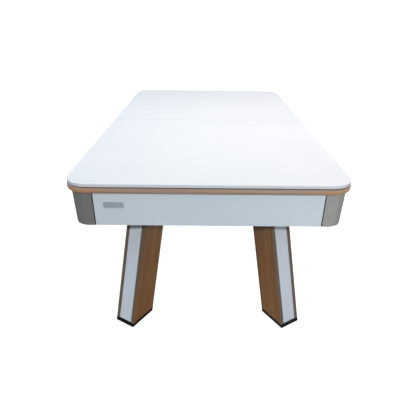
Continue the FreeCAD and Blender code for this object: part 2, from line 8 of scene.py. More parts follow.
import bpy
import numpy as np
from mathutils import Matrix, Vector
from mathutils.geometry import delaunay_2d_cdt


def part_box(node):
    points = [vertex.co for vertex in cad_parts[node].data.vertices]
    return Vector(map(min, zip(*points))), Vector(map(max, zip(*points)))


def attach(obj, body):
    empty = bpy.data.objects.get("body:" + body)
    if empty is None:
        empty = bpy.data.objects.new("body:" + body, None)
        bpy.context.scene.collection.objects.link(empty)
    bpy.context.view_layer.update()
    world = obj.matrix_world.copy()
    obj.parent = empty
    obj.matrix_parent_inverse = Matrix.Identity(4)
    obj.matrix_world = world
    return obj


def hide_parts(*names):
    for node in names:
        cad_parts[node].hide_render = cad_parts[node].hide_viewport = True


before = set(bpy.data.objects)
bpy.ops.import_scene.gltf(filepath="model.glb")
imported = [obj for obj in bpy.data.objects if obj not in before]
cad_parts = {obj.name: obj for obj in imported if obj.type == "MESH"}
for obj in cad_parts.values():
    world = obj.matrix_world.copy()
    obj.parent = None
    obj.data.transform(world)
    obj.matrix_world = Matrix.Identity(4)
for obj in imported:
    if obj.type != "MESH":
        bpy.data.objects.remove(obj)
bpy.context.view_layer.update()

# Levellers: each leg stands on a zinc-plated steel screw that turns in a moulded black pad.
# The screw has a hexagon for a spanner, and its thread runs in the end of the leg's core.
LEGS = ("front_left", "front_right", "rear_left", "rear_right")
ZINC = (0.58, 0.60, 0.62, 1)
PAD_BLACK = (0.022, 0.022, 0.024, 1)


def feed(tree, socket, value):
    """Links the socket to an output, or sets it to a plain value."""
    if isinstance(value, bpy.types.NodeSocket):
        tree.links.new(value, socket)
    else:
        socket.default_value = value


def put(tree, kind, inputs=(), **settings):
    """Adds a node with its settings and feeds its inputs, given by name or number."""
    node = tree.nodes.new(kind)
    for name, value in settings.items():
        setattr(node, name, value)
    for key, value in dict(inputs).items():
        feed(tree, node.inputs[key], value)
    return node


def calc(tree, operation, *values):
    """One sum: the operation on up to three values."""
    return put(tree, "ShaderNodeMath", enumerate(values), operation=operation).outputs[0]


def mixed(tree, share, first, second):
    """The first colour where share is 0, the second where it is 1."""
    node = put(tree, "ShaderNodeMix", {0: share, 6: first, 7: second}, data_type="RGBA")
    return node.outputs[2]


def eased(tree, value, low, high, out_low=0.0, out_high=1.0):
    """Carries value from low..high to out_low..out_high along an S curve, held at both ends."""
    numbers = {0: value, 1: low, 2: high, 3: out_low, 4: out_high}
    return put(tree, "ShaderNodeMapRange", numbers, interpolation_type="SMOOTHSTEP").outputs[0]


def noise(tree, place, density, detail=2.0, twist=0.0):
    """Noise with the given number of cells a metre along X, Y and Z."""
    stretched = put(tree, "ShaderNodeVectorMath", {0: place, 1: density}, operation="MULTIPLY")
    inputs = {"Vector": stretched.outputs[0], "Scale": 1.0, "Detail": detail, "Distortion": twist}
    return put(tree, "ShaderNodeTexNoise", inputs).outputs[0]


def new_group(name, inputs, outputs):
    """A shader node group with named sockets, and its own input and output sockets by name."""
    group = bpy.data.node_groups.new(name, "ShaderNodeTree")
    kinds = {1: "NodeSocketFloat", 3: "NodeSocketVector", 4: "NodeSocketColor"}
    for label, value in inputs.items():
        socket = group.interface.new_socket(label, in_out="INPUT", socket_type=kinds[np.size(value)])
        socket.default_value = value
    for label, kind in outputs.items():
        group.interface.new_socket(label, in_out="OUTPUT", socket_type=kind)
    return group, group.nodes.new("NodeGroupInput").outputs, group.nodes.new("NodeGroupOutput").inputs


COLOUR, VALUE, VECTOR = "NodeSocketColor", "NodeSocketFloat", "NodeSocketVector"
SURFACE = {"Color": COLOUR, "Roughness": VALUE, "Height": VALUE}


def metal_group():
    """Worked metal: fine and broader lines along Z, a slow drift of tone, and roughness after both."""
    inputs = {"Place": (0, 0, 0), "Metal": ZINC, "Streaks": 0.5, "Roughness": 0.3}
    tree, given, out = new_group("worked metal", inputs, SURFACE)
    fine = noise(tree, given["Place"], (1400, 1400, 22), 3)
    broad = noise(tree, given["Place"], (210, 210, 2.5), 2)
    drift = noise(tree, given["Place"], (9, 9, 9), 2)
    streak = calc(tree, "MULTIPLY_ADD", broad, 0.6, calc(tree, "MULTIPLY", fine, 0.4))
    lined = calc(tree, "MULTIPLY", eased(tree, streak, 0.3, 0.7), given["Streaks"])
    dull = mixed(tree, 0.42, given["Metal"], (0.05, 0.05, 0.05, 1))
    toned = mixed(tree, eased(tree, drift, 0.3, 0.7, 0.0, 0.22), given["Metal"], dull)
    feed(tree, out["Color"], mixed(tree, calc(tree, "MULTIPLY", lined, 0.55), toned, dull))
    spread = calc(tree, "MULTIPLY_ADD", lined, 0.20, given["Roughness"])
    feed(tree, out["Roughness"], calc(tree, "MULTIPLY_ADD", drift, 0.08, spread))
    feed(tree, out["Height"], lined)
    return tree


def moulded_group():
    """Moulded plastic or rubber: a fine pebbled skin, with pale dust that gathers in patches."""
    inputs = {"Place": (0, 0, 0), "Body": PAD_BLACK, "Dust": 0.1, "Roughness": 0.5}
    tree, given, out = new_group("moulded skin", inputs, SURFACE)
    pebble = noise(tree, given["Place"], (900, 900, 900), 1)
    patch = noise(tree, given["Place"], (24, 24, 24), 4)
    dusty = calc(tree, "MULTIPLY", eased(tree, patch, 0.45, 0.75), given["Dust"])
    feed(tree, out["Color"], mixed(tree, dusty, given["Body"], (0.42, 0.40, 0.37, 1)))
    spread = calc(tree, "MULTIPLY_ADD", pebble, 0.14, given["Roughness"])
    feed(tree, out["Roughness"], calc(tree, "MULTIPLY_ADD", dusty, 0.5, spread))
    feed(tree, out["Height"], pebble)
    return tree


def new_finish(name, group, values, bump, depth, **plain):
    """A material with its own Principled shader, fed by a group; bump and depth set the relief.

    plain holds the shader's even values, by socket name with underscores for spaces.
    """
    material = bpy.data.materials.new(name)
    material.use_nodes = True
    tree = material.node_tree
    shader = tree.nodes["Principled BSDF"]
    skin = put(tree, "ShaderNodeGroup", node_tree=group)
    for label, value in values.items():
        feed(tree, skin.inputs[label], value(tree) if callable(value) else value)
    feed(tree, shader.inputs["Base Color"], skin.outputs["Color"])
    feed(tree, shader.inputs["Roughness"], skin.outputs["Roughness"])
    relief = {"Strength": bump, "Distance": depth, "Height": skin.outputs["Height"]}
    feed(tree, shader.inputs["Normal"], put(tree, "ShaderNodeBump", relief).outputs[0])
    for label, value in plain.items():
        shader.inputs[label.replace("_", " ")].default_value = value
    return material


def in_place(location=(0, 0, 0), rotation=(0, 0, 0)):
    """Object coordinates seen from axes that are set at a location and turned by XYZ angles."""
    def build(tree):
        place = put(tree, "ShaderNodeTexCoord").outputs["Object"]
        inputs = {"Vector": place, "Location": location, "Rotation": rotation}
        return put(tree, "ShaderNodeMapping", inputs, vector_type="TEXTURE").outputs[0]
    return build


def dress(material, *names):
    """Gives the named CAD nodes this material."""
    for name in names:
        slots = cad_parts[name].data.materials
        slots.clear()
        slots.append(material)


WORKED_METAL = metal_group()
MOULDED_SKIN = moulded_group()
zinc = new_finish(
    "zinc_plated_steel", WORKED_METAL,
    {"Place": in_place(), "Metal": ZINC, "Streaks": 0.25, "Roughness": 0.27},
    bump=0.15, depth=0.0004, Metallic=1.0,
)
pad_rubber = new_finish(
    "leveller_pad_rubber", MOULDED_SKIN,
    {"Place": in_place(), "Body": PAD_BLACK, "Dust": 0.35, "Roughness": 0.6},
    bump=0.3, depth=0.0004,
)
dress(zinc, *(f"leg_{leg}_leveller_stem" for leg in LEGS))
dress(pad_rubber, *(f"leg_{leg}_leveller_pad" for leg in LEGS))

# Feet: a black moulded block closes the lower end of each leg and hides the leveller.
# It is screwed up into the core before the leveller goes in, and its satin skin holds little dust.
foot_plastic = new_finish(
    "foot_plastic", MOULDED_SKIN,
    {"Place": in_place(), "Body": (0.008, 0.007, 0.007, 1), "Dust": 0.03, "Roughness": 0.46},
    bump=0.2, depth=0.0004, Specular_IOR_Level=0.25,
)
dress(foot_plastic, *(f"leg_{leg}_foot" for leg in LEGS))

# Leg cores: a box of board, sprayed white, that shows on both ends of each blade.
# Its upper end is glued and screwed to the leg plate, and the wood boards are glued to its sides.
LEG_WHITE = (0.765, 0.825, 0.90, 1)


def sprayed_group():
    """Sprayed lacquer: a faint orange peel, slow drifts of tone and a few rubbed, duller patches."""
    inputs = {
        "Place": (0, 0, 0), "Paint": LEG_WHITE, "Shade": (0.6, 0.6, 0.6, 1), "Drift": 0.1, "Roughness": 0.3,
    }
    tree, given, out = new_group("sprayed skin", inputs, SURFACE)
    drift = noise(tree, given["Place"], (3.1, 3.1, 3.1), 3)
    rubbed = noise(tree, given["Place"], (19, 19, 19), 4)
    peel = noise(tree, given["Place"], (420, 420, 420), 1)
    share = calc(tree, "MULTIPLY", eased(tree, drift, 0.3, 0.75), given["Drift"])
    feed(tree, out["Color"], mixed(tree, share, given["Paint"], given["Shade"]))
    patches = calc(tree, "MULTIPLY_ADD", eased(tree, rubbed, 0.4, 0.8), 0.10, given["Roughness"])
    feed(tree, out["Roughness"], calc(tree, "MULTIPLY_ADD", peel, 0.04, patches))
    feed(tree, out["Height"], peel)
    return tree


SPRAYED_SKIN = sprayed_group()
leg_lacquer = new_finish(
    "leg_lacquer", SPRAYED_SKIN,
    {"Place": in_place(), "Paint": LEG_WHITE, "Shade": (0.64, 0.70, 0.78, 1), "Drift": 0.25,
     "Roughness": 0.34},
    bump=0.06, depth=0.0004,
)
dress(leg_lacquer, *(f"leg_{leg}_core" for leg in LEGS))

# Leg boards: wood-grain boards on both sides of each core, with the grain along the blade.
# They are veneered on all edges, which are lightly rounded and a little darker, and the veneer
# turns greyer towards the apron.
LEG_TURN = 57.7
LEG_LEAN = 15
BOARD_RIM, RIM_SHARE = (0.0698, 0.0722), 0.9
GREYING = (0.30, 0.60)
FOOT_AT = sum(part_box("leg_rear_right_leveller_pad"), Vector()) / 2
SIDE = {"left": -1, "right": 1}
END = {"front": -1, "rear": 1}


def wood_group():
    """Wood along Z: broad bands, streaks and fine lines of noise added up, then short dark pores.

    The sum picks a colour between late wood, heart wood and early wood, and long wandering bands
    of another noise lean it towards the glow of the heart, at least by the given warmth, which on the
    end rails is a painted glow at both corners. An edge mask lays a rim tone over it: darker on the
    leg boards' edges, and a painted highlight on the rails' upper outer edge.
    """
    inputs = {
        "Place": (0, 0, 0), "Early": (0.5, 0.3, 0.16, 1), "Heart": (0.4, 0.2, 0.1, 1),
        "Late": (0.2, 0.1, 0.05, 1), "Glow": (0.4, 0.2, 0.1, 1), "Warmth": 0.0, "Edge": 0.0,
        "Rim": (0.17, 0.124, 0.090, 1), "Roughness": 0.4,
    }
    tree, given, out = new_group("wood grain", inputs, SURFACE)
    bands = noise(tree, given["Place"], (22, 22, 0.45), 2, 0.8)
    streaks = noise(tree, given["Place"], (105, 105, 1.6), 3, 0.3)
    lines = noise(tree, given["Place"], (620, 620, 7), 2)
    dashes = noise(tree, given["Place"], (1500, 1500, 34), 1)
    tone = calc(tree, "MULTIPLY_ADD", streaks, 0.45, calc(tree, "MULTIPLY", bands, 0.42))
    tone = calc(tree, "MULTIPLY_ADD", lines, 0.13, tone)
    pores = eased(tree, dashes, 0.60, 0.72)
    colour = mixed(tree, eased(tree, tone, 0.30, 0.50), given["Late"], given["Heart"])
    colour = mixed(tree, eased(tree, tone, 0.50, 0.68), colour, given["Early"])
    warm = noise(tree, given["Place"], (48, 48, 1.3), 2, 0.5)
    share = calc(tree, "MAXIMUM", eased(tree, warm, 0.48, 0.66, 0.0, 0.75), given["Warmth"])
    colour = mixed(tree, share, colour, given["Glow"])
    colour = mixed(tree, given["Edge"], colour, given["Rim"])
    feed(tree, out["Color"], mixed(tree, calc(tree, "MULTIPLY", pores, 0.55), colour, given["Late"]))
    rough = calc(tree, "MULTIPLY_ADD", pores, 0.22, given["Roughness"])
    feed(tree, out["Roughness"], calc(tree, "MULTIPLY_ADD", lines, 0.10, rough))
    feed(tree, out["Height"], calc(tree, "MULTIPLY_ADD", pores, -0.8, lines))
    return tree


def board_edge(axes):
    """A mask of a leg board's narrow faces, where X in the blade's axes is near its ends."""
    def build(tree):
        x = put(tree, "ShaderNodeSeparateXYZ", {0: axes(tree)}).outputs[0]
        return eased(tree, calc(tree, "ABSOLUTE", x), *BOARD_RIM, 0.0, RIM_SHARE)
    return build


def up_the_blade(axes, low, high):
    """The low colour at the foot, gone over to the high one towards the apron."""
    def build(tree):
        z = put(tree, "ShaderNodeSeparateXYZ", {0: axes(tree)}).outputs[2]
        return mixed(tree, eased(tree, z, *GREYING), low, high)
    return build


WOOD_GRAIN = wood_group()
LEG_WOOD = {
    "Early": (0.41, 0.224, 0.100, 1), "Late": (0.164, 0.083, 0.040, 1), "Rim": (0.17, 0.124, 0.090, 1),
    "Roughness": 0.42,
}
LEG_HEART = ((0.300, 0.142, 0.055, 1), (0.300, 0.178, 0.098, 1))
LEG_GLOW = ((0.430, 0.172, 0.037, 1), (0.400, 0.225, 0.115, 1))
for leg in LEGS:
    end_name, side_name = leg.split("_")
    side, end = SIDE[side_name], END[end_name]
    turn = LEG_TURN * side * end + (0 if side < 0 else 180)
    axes = in_place(
        (FOOT_AT[0] * side, FOOT_AT[1] * end, 0), (0, math.radians(LEG_LEAN), math.radians(turn))
    )
    tones = {"Heart": up_the_blade(axes, *LEG_HEART), "Glow": up_the_blade(axes, *LEG_GLOW)}
    values = {"Place": axes, "Edge": board_edge(axes), **tones, **LEG_WOOD}
    veneer = new_finish(f"leg_veneer_{leg}", WOOD_GRAIN, values, bump=0.25, depth=0.0004)
    dress(veneer, f"leg_{leg}_outer_board", f"leg_{leg}_inner_board")

# Leg plates and bolts: a steel plate, powder-coated black, is bolted up to the beam over each leg.
# Four zinc-plated hexagon bolts a plate go through into the beam.
powder_coat = new_finish(
    "powder_coat", SPRAYED_SKIN,
    {"Place": in_place(), "Paint": (0.018, 0.018, 0.019, 1), "Shade": (0.05, 0.05, 0.05, 1), "Drift": 0.5,
     "Roughness": 0.45},
    bump=0.4, depth=0.0006,
)
dress(powder_coat, "leg_plates")
dress(zinc, "leg_bolts")

# Beams: plain pine timber under the bed, two wide ones for the legs and two narrower between them.
# They are glued and screwed to the bed, and left bare.
BEAM_MIDDLE = sum(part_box("leg_beam_front"), Vector()).z / 2
pine = new_finish(
    "beam_pine", WOOD_GRAIN,
    {"Place": in_place((0, 0, BEAM_MIDDLE), (0, math.radians(90), 0)), "Early": (0.66, 0.47, 0.27, 1),
     "Heart": (0.56, 0.37, 0.19, 1), "Late": (0.40, 0.23, 0.10, 1), "Glow": (0.60, 0.36, 0.15, 1),
     "Roughness": 0.62},
    bump=0.4, depth=0.0006,
)
dress(pine, "leg_beam_front", "leg_beam_rear", "cross_beams")

# Bed: a thick fibre board, bored for the six pockets, that carries the cloth and the rails.
# Its faces are sanded and bare, so it shows a short speckled fibre.
BED_UNDERSIDE, BED_LEVEL = (corner.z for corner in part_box("playfield_bed"))


def fibre_group():
    """Pressed fibre: dark flecks of noise, flattened along Z, on a slow drift of tone."""
    inputs = {"Place": (0, 0, 0), "Board": (0.36, 0.25, 0.15, 1), "Fleck": (0.17, 0.105, 0.06, 1)}
    tree, given, out = new_group("pressed fibre", inputs, SURFACE)
    drift = noise(tree, given["Place"], (6, 6, 6), 3)
    fleck = noise(tree, given["Place"], (340, 340, 800), 3, 0.6)
    dark = calc(tree, "MULTIPLY", eased(tree, fleck, 0.48, 0.74), 0.8)
    share = calc(tree, "MULTIPLY_ADD", drift, 0.25, dark)
    feed(tree, out["Color"], mixed(tree, share, given["Board"], given["Fleck"]))
    feed(tree, out["Roughness"], eased(tree, fleck, 0.2, 0.8, 0.68, 0.88))
    feed(tree, out["Height"], fleck)
    return tree


fibre_board = new_finish(
    "bed_fibre_board", fibre_group(), {"Place": in_place()}, bump=0.2, depth=0.0004
)
dress(fibre_board, "playfield_bed")

# Playing cloth: a napped wool cloth, stretched over the bed and glued, cut out at the six pockets.
# The foot spot, a thin round patch, is stuck on it for racking the balls.
CLOTH_THICK = 0.001
CLOTH_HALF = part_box("playfield_bed")[1].xy
CLOTH_CORNER = 0.045
FLANGE_REACH = 0.0047
CLOTH_GREY = (0.135, 0.165, 0.195, 1)
SPOT_AT = (0.0, -0.4785)
CORNER_POINTS, SIDE_POINTS, BEND_POINTS = 96, 80, 12
TRIANGLES_INSIDE, SAME_POINT = 1, 1e-6


def cloth_group():
    """Napped plain weave: sine ribs across U and V under soft fibres that lie along V.

    U and V are metres on the cloth, and the ribs are bent by noise so that they never line up.
    """
    inputs = {"Place": (0, 0, 0), "Yarn": CLOTH_GREY, "Nap": (0.2, 0.23, 0.26, 1), "Roughness": 0.8}
    tree, given, out = new_group("napped cloth", inputs, SURFACE)
    wander = noise(tree, given["Place"], (90, 90, 90), 2)
    parts = put(tree, "ShaderNodeSeparateXYZ", {0: given["Place"]}).outputs
    ribs = []
    for axis in (0, 1):
        turns = calc(tree, "MULTIPLY_ADD", wander, 9.0, calc(tree, "MULTIPLY", parts[axis], 5200))
        ribs.append(calc(tree, "SINE", turns))
    weave = calc(tree, "MULTIPLY_ADD", calc(tree, "MULTIPLY", *ribs), 0.5, 0.5)
    fibres = noise(tree, given["Place"], (1300, 260, 300), 3)
    cloud = noise(tree, given["Place"], (7, 3, 7), 3)
    share = calc(tree, "MULTIPLY_ADD", fibres, 0.55, calc(tree, "MULTIPLY", weave, 0.25))
    share = calc(tree, "MULTIPLY_ADD", eased(tree, cloud, 0.3, 0.7), 0.22, share)
    feed(tree, out["Color"], mixed(tree, share, given["Yarn"], given["Nap"]))
    feed(tree, out["Roughness"], calc(tree, "MULTIPLY_ADD", fibres, 0.15, given["Roughness"]))
    feed(tree, out["Height"], calc(tree, "MULTIPLY_ADD", fibres, 0.5, weave))
    return tree


def on_cloth(tree):
    """The piece's own map, in metres along and across the cloth."""
    return put(tree, "ShaderNodeUVMap", uv_map="cloth").outputs[0]


def pocket_hole(name):
    """X and Y of a pocket's middle and the radius of its hole: half its width less its flange's reach."""
    low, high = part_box(name)
    x, y, _ = (low + high) / 2
    return x, y, (high.x - low.x) / 2 - FLANGE_REACH


def ring(centre, radius, count):
    """Points of a circle: centre plus radius times the cosine and sine of even angles."""
    angle = np.arange(count) * (2 * math.pi / count)
    return np.stack([centre[0] + radius * np.cos(angle), centre[1] + radius * np.sin(angle)], axis=1)


def rounded_outline(half_x, half_y, radius, count):
    """A rectangle with round corners: each quarter of a ring is pushed out to its own corner."""
    quarter = np.repeat(np.arange(4), count)
    angle = (quarter + np.tile(np.linspace(0, 1, count), 4)) * (math.pi / 2)
    sign_x = np.where((quarter == 0) | (quarter == 3), 1, -1)
    sign_y = np.where(quarter < 2, 1, -1)
    x = sign_x * (half_x - radius) + radius * np.cos(angle)
    y = sign_y * (half_y - radius) + radius * np.sin(angle)
    return np.stack([x, y], axis=1)


def new_piece(name, points, faces, material, body, sharp=35):
    """A mesh piece at the origin that rides on a body; edges past the sharp angle stay crisp."""
    mesh = bpy.data.meshes.new(name)
    mesh.from_pydata(np.asarray(points).tolist(), [], [list(face) for face in faces])
    mesh.polygons.foreach_set("use_smooth", np.ones(len(mesh.polygons), bool))
    mesh.set_sharp_from_angle(angle=math.radians(sharp))
    mesh.materials.append(material)
    piece = bpy.data.objects.new(name, mesh)
    bpy.context.scene.collection.objects.link(piece)
    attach(piece, body)
    return piece


def give_map(piece, name, place):
    """A UV map from place, one pair of metres for each vertex."""
    mesh = piece.data
    corner = np.empty(len(mesh.loops), np.int32)
    mesh.loops.foreach_get("vertex_index", corner)
    mesh.uv_layers.new(name=name).data.foreach_set("uv", np.asarray(place, np.float32)[corner].ravel())


def cut_sheet(outline, holes):
    """Triangles of the region inside the outline and outside the holes, faces up.

    The holes are rings, so a triangle lies in one where its centre is nearer to the ring's middle than
    the ring is, and it is left out.
    """
    loops = [outline, *holes]
    sizes = [len(loop) for loop in loops]
    runs = np.split(np.arange(sum(sizes)), np.cumsum(sizes)[:-1])
    edges = np.concatenate([np.stack([run, np.roll(run, -1)], axis=1) for run in runs]).tolist()
    flat = np.concatenate(loops).tolist()
    points, _, faces, *_ = delaunay_2d_cdt(flat, edges, [], TRIANGLES_INSIDE, SAME_POINT)
    points, faces = np.array(points), np.array(faces)
    for hole in holes:
        middle = hole.mean(axis=0)
        reach = np.linalg.norm(points[faces].mean(axis=1) - middle, axis=1)
        faces = faces[reach > np.linalg.norm(hole[0] - middle)]
    return points, faces


corner_pockets = [pocket_hole(f"pocket_{leg}") for leg in LEGS]
side_pockets = [pocket_hole(f"pocket_{side_name}") for side_name in SIDE]
holes = [ring((x, y), radius, CORNER_POINTS) for x, y, radius in corner_pockets]
holes += [ring((x, y), radius, SIDE_POINTS) for x, y, radius in side_pockets]
flat_points, cloth_faces = cut_sheet(rounded_outline(*CLOTH_HALF, CLOTH_CORNER, BEND_POINTS), holes)
NAPPED_CLOTH = cloth_group()
CLOTH_YARN = {"Place": on_cloth, "Yarn": CLOTH_GREY, "Nap": (0.215, 0.25, 0.285, 1), "Roughness": 0.78}
CLOTH_RELIEF = {"bump": 0.35, "depth": 0.0004}
CLOTH_SHEEN = {"Sheen_Weight": 0.35, "Sheen_Roughness": 0.4, "Specular_IOR_Level": 0.25}
bed_cloth = new_finish("bed_cloth", NAPPED_CLOTH, CLOTH_YARN, **CLOTH_RELIEF, **CLOTH_SHEEN)
cloth = new_piece(
    "bed_cloth", np.column_stack([flat_points, np.full(len(flat_points), BED_LEVEL)]), cloth_faces,
    bed_cloth, "table",
)
give_map(cloth, "cloth", flat_points)
thick = cloth.modifiers.new("thickness", "SOLIDIFY")
thick.thickness = CLOTH_THICK
thick.offset = 1
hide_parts("playfield_cloth")
cut_width, cut_length = 2 * CLOTH_HALF[0], 2 * CLOTH_HALF[1]
cut_area = cut_width * cut_length - (4 - math.pi) * CLOTH_CORNER**2
cut_area -= math.pi * sum(radius**2 for _, _, radius in corner_pockets + side_pockets)


def tube_faces(rings, sides):
    """Faces of a closed tube of rings: quads from each ring to the next, then a cap on either end."""
    low = np.arange((rings - 1) * sides).reshape(-1, sides)
    following = np.roll(low, -1, 1)
    quads = np.stack([low, following, following + sides, low + sides], axis=2).reshape(-1, 4)
    cap = np.arange(sides)
    return [*quads, cap[::-1], cap + (rings - 1) * sides]


def turned(profile, sides, places):
    """A profile of (radius, height) turned round the vertical and repeated at places.

    Point k of ring j is radius j times the cosine and sine of angle k, at height j.
    """
    profile, places = np.asarray(profile, float), np.asarray(places, float)
    angle = np.arange(sides) * (2 * math.pi / sides)
    one = np.stack([
        np.outer(profile[:, 0], np.cos(angle)), np.outer(profile[:, 0], np.sin(angle)),
        np.repeat(profile[:, 1:2], sides, axis=1),
    ], axis=2).reshape(-1, 3)
    points = (places[:, None, :] + one[None]).reshape(-1, 3)
    steps = np.arange(len(places)) * len(one)
    one_faces = tube_faces(len(profile), sides)
    return points, [face + step for step in steps for face in one_faces]


spot_paper = new_finish(
    "spot_paper", MOULDED_SKIN,
    {"Place": in_place(), "Body": (0.03, 0.03, 0.032, 1), "Dust": 0.5, "Roughness": 0.7},
    bump=0.1, depth=0.0003,
)
SPOT_PROFILE = [(0.0095, 0.0), (0.0095, 0.0002), (0.0090, 0.0003), (0.002, 0.0003)]
spot_place = (*SPOT_AT, BED_LEVEL + CLOTH_THICK)
spot = new_piece("foot_spot", *turned(SPOT_PROFILE, sides=40, places=[spot_place]), spot_paper, "table")

# Pockets: black moulded cups hung under the bed, with a collar that lines the bore of the rail.
# Four small pan-head screws hold each cup's flange up against the bed.
pocket_plastic = new_finish(
    "pocket_plastic", MOULDED_SKIN,
    {"Place": in_place(), "Body": (0.024, 0.024, 0.025, 1), "Dust": 0.25, "Roughness": 0.48},
    bump=0.35, depth=0.0005,
)
dress(pocket_plastic, *(f"pocket_{name}" for name in (*LEGS, *SIDE)))
FLANGE_THICK, FLANGE_MIDDLE = 0.004, 0.0022
FLANGE_FOOT = BED_UNDERSIDE - FLANGE_THICK
SCREWS_A_CUP = 4
SCREW_PROFILE = [(0.0009, -0.0008), (0.0010, -0.0015), (0.0018, -0.0012), (0.0022, -0.0006), (0.0022, 0)]
screw_places = []
for x, y, radius in corner_pockets + side_pockets:
    round_cup = ring((x, y), radius + FLANGE_MIDDLE, SCREWS_A_CUP)
    screw_places += [(*point, FLANGE_FOOT) for point in round_cup]
pocket_screws = new_piece(
    "pocket_screws", *turned(SCREW_PROFILE, sides=14, places=screw_places), zinc, "table"
)

# Rails: wood rails that stand on the bed and lap over the aprons; the end rails turn both corners.
# The grain follows each rail, round the corners too; a painted glow warms the end rails towards both
# corners, a painted highlight pales the upper outer edge, and small round sights are let into the top.
RAIL_CORNER = 0.09
rail_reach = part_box("rail_rear")[1]
RAIL_TOP = rail_reach.z
CORNER_MIDDLE = (rail_reach.x - RAIL_CORNER, rail_reach.y - RAIL_CORNER)
CORNER_BEND = 0.08
REAR_SHIFT = 3.0
# The first line sets a painted glow at both ends of the end rails, the second a painted highlight on the
# upper outer edge.
GLOW_REACH, GLOW_SHARE = (0.34, 0.54), 0.85
HIGHLIGHT_IN, HIGHLIGHT_DROP, HIGHLIGHT_SHARE = (0.0130, 0.0105), (0.0042, 0.0018), 0.8
SIGHT_INSET = 0.0225
side_low, side_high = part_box("cushion_right_rear")
end_low, end_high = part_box("cushion_rear")
NOSE_LINE, RAIL_FACE = (side_low.x, end_low.y), (side_high.x, end_high.y)


def corner_group():
    """Axes that follow an end rail: X is the depth out to its face, Y the height, Z the run along it.

    Past the middle of a corner both ways, the run grows by the bend's radius times the angle, and the
    depth is the distance from that middle. On the straights the run follows X or Y, and the depth is
    how far the other one goes past the middle. The rear and the front are shifted apart along the run,
    so that their grain differs.
    """
    tree, given, out = new_group("round the corner", {"Place": (0, 0, 0)}, {"Along": VECTOR})
    x, y, z = put(tree, "ShaderNodeSeparateXYZ", {0: given["Place"]}).outputs
    far_x, far_y = calc(tree, "ABSOLUTE", x), calc(tree, "ABSOLUTE", y)
    over_x = calc(tree, "MAXIMUM", calc(tree, "SUBTRACT", far_x, CORNER_MIDDLE[0]), 0.0)
    over_y = calc(tree, "MAXIMUM", calc(tree, "SUBTRACT", far_y, CORNER_MIDDLE[1]), 0.0)
    bend = calc(tree, "MULTIPLY", calc(tree, "ARCTAN2", over_x, over_y), CORNER_BEND)
    straight_x = calc(tree, "SUBTRACT", far_x, over_x)
    arm = calc(tree, "MAXIMUM", calc(tree, "SUBTRACT", CORNER_MIDDLE[1], far_y), 0.0)
    run = calc(tree, "ADD", calc(tree, "ADD", straight_x, bend), arm)
    run = calc(tree, "MULTIPLY", run, calc(tree, "SIGN", x))
    square_x = calc(tree, "MULTIPLY", over_x, over_x)
    depth = calc(tree, "SQRT", calc(tree, "MULTIPLY_ADD", over_y, over_y, square_x))
    shifted = calc(tree, "MULTIPLY_ADD", calc(tree, "SIGN", y), REAR_SHIFT, run)
    feed(tree, out["Along"], put(tree, "ShaderNodeCombineXYZ", {0: depth, 1: z, 2: shifted}).outputs[0])
    return tree


ROUND_THE_CORNER = corner_group()


def along_end_rail(tree):
    """Object coordinates carried round the corners of an end rail."""
    place = put(tree, "ShaderNodeTexCoord").outputs["Object"]
    return put(tree, "ShaderNodeGroup", {0: place}, node_tree=ROUND_THE_CORNER).outputs[0]


# Painted glow: both ends of the end rails are painted redder, where the turning corners catch the light.
def painted_corner_glow(tree):
    """None in the middle of an end rail, most at both ends: a painted glow, redder where the corners catch
    the light.
    """
    place = put(tree, "ShaderNodeTexCoord").outputs["Object"]
    x = put(tree, "ShaderNodeSeparateXYZ", {0: place}).outputs[0]
    return eased(tree, calc(tree, "ABSOLUTE", x), *GLOW_REACH, 0.0, GLOW_SHARE)


# Painted highlight: the rails' upper outer edge is painted paler, where its rounding catches the light.
def painted_edge_highlight(tree):
    """A mask of the painted highlight on the rails' upper outer edge: near the outer face, times near the
    top.
    """
    depth, height, _ = put(tree, "ShaderNodeSeparateXYZ", {0: along_end_rail(tree)}).outputs
    outer = eased(tree, depth, *(RAIL_CORNER - inset for inset in HIGHLIGHT_IN))
    upper = eased(tree, height, *(RAIL_TOP - drop for drop in HIGHLIGHT_DROP), 0.0, HIGHLIGHT_SHARE)
    return calc(tree, "MULTIPLY", outer, upper)


# The pale Rim is the painted highlight on the rails' upper outer edge.
RAIL_WOOD = {
    "Early": (0.63, 0.467, 0.36, 1), "Heart": (0.515, 0.342, 0.242, 1), "Late": (0.326, 0.20, 0.128, 1),
    "Glow": (0.65, 0.335, 0.155, 1), "Edge": painted_edge_highlight, "Rim": (0.57, 0.45, 0.38, 1), "Roughness": 0.36,
}
RAIL_RELIEF = {"bump": 0.2, "depth": 0.0004}
end_rail_veneer = new_finish(
    "end_rail_veneer", WOOD_GRAIN, {"Place": along_end_rail, "Warmth": painted_corner_glow, **RAIL_WOOD},
    **RAIL_RELIEF,
)
dress(end_rail_veneer, "rail_front", "rail_rear")
along_y = in_place((0, 0, RAIL_TOP), (math.radians(-90), 0, 0))
long_rail_veneer = new_finish(
    "long_rail_veneer", WOOD_GRAIN, {"Place": along_y, **RAIL_WOOD}, **RAIL_RELIEF
)
dress(long_rail_veneer, "rail_left", "rail_right")

sight_metal = new_finish(
    "sight_metal", WORKED_METAL,
    {"Place": in_place(), "Metal": (0.72, 0.72, 0.70, 1), "Streaks": 0.3, "Roughness": 0.22},
    bump=0.05, depth=0.0003, Metallic=1.0,
)
quarters = np.array([-3, -2, -1, 1, 2, 3]) / 4 * NOSE_LINE[1]
sights = [(side * (RAIL_FACE[0] + SIGHT_INSET), y, RAIL_TOP) for side in (-1, 1) for y in quarters]
sights += [(x, end * (RAIL_FACE[1] + SIGHT_INSET), RAIL_TOP) for end in (-1, 1)
           for x in (-NOSE_LINE[0] / 2, 0, NOSE_LINE[0] / 2)]
SIGHT_PROFILE = [(0.0055, -0.0004), (0.0055, 0.0001), (0.0051, 0.0003), (0.003, 0.0005), (0.0012, 0.00055)]
rail_sights = new_piece(
    "rail_sights", *turned(SIGHT_PROFILE, sides=28, places=sights), sight_metal, "table"
)

